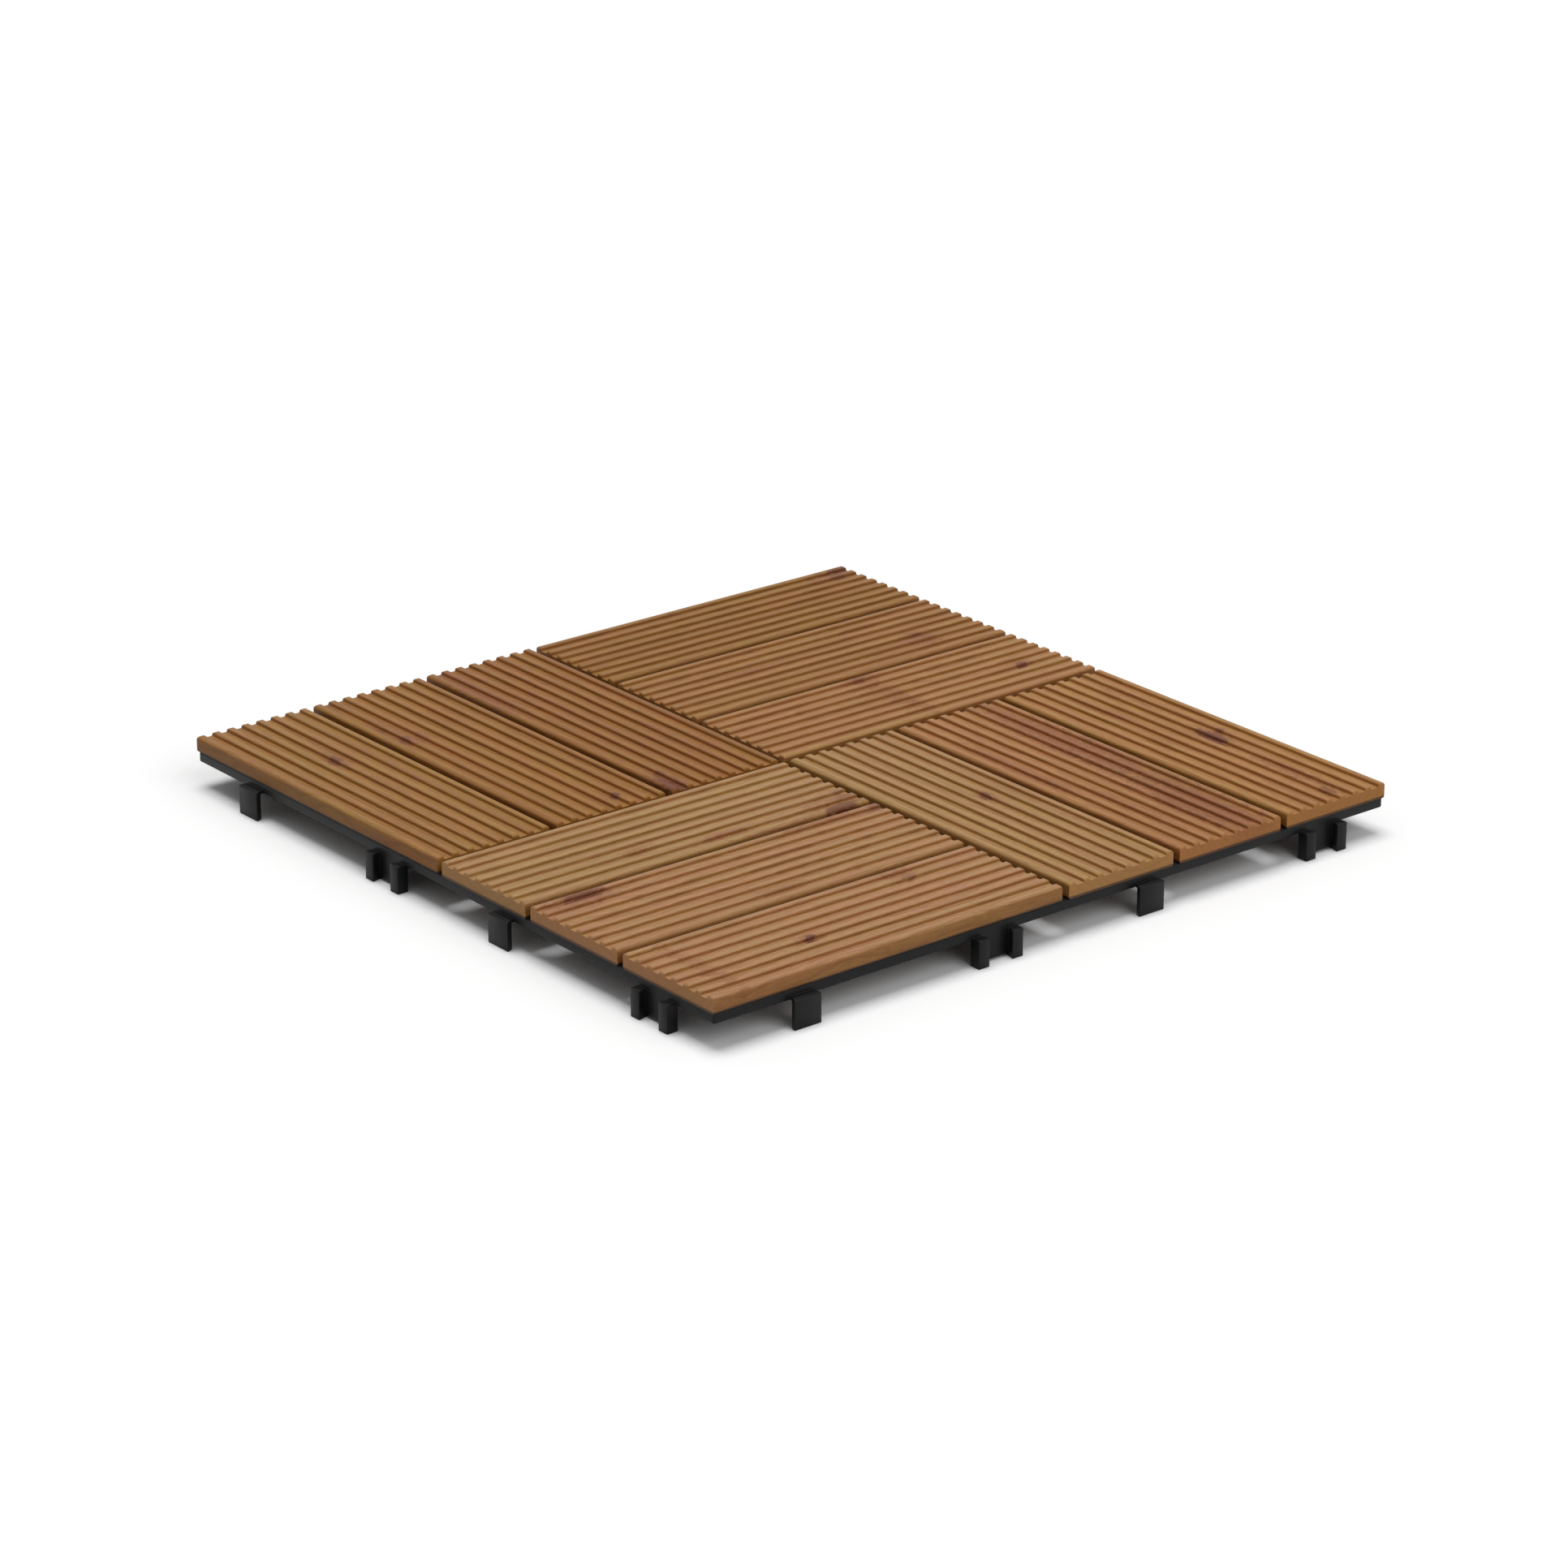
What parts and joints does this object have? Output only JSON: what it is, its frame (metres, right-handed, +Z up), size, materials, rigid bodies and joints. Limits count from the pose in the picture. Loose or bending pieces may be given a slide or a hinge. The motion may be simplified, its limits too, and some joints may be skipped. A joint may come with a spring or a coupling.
{
  "type": "interlocking deck tile",
  "caption": "Square deck tile: grooved wooden slats in a basket pattern on a pierced black plastic grid with hollow posts, and tongues and sockets around its edge.",
  "frame": {"origin": "under the centre of the tile, in the plane of the connector tips it stands on", "axes": "+Z up, -Y is the front and -X the left; the slats of the front left and back right quarters run along X"},
  "size_m": [0.3056, 0.3056, 0.0192],
  "materials": {
    "grid_plastic": "satin black",
    "wood_pinkish": "oiled, fine grooves",
    "wood_yellowish": "oiled, fine grooves",
    "wood_reddish": "oiled, fine grooves",
    "wood_brownish": "oiled, fine grooves"
  },
  "bodies": {
    "root": {"base_grid": "grid_plastic", "slat_front_left_1": "wood_yellowish", "slat_front_left_2": "wood_pinkish", "slat_front_left_3": "wood_pinkish", "slat_front_right_1": "wood_yellowish", "slat_front_right_2": "wood_reddish", "slat_front_right_3": "wood_pinkish", "slat_back_right_1": "wood_pinkish", "slat_back_right_2": "wood_pinkish", "slat_back_right_3": "wood_brownish", "slat_back_left_1": "wood_brownish", "slat_back_left_2": "wood_pinkish", "slat_back_left_3": "wood_yellowish"}
  },
  "joints": []
}
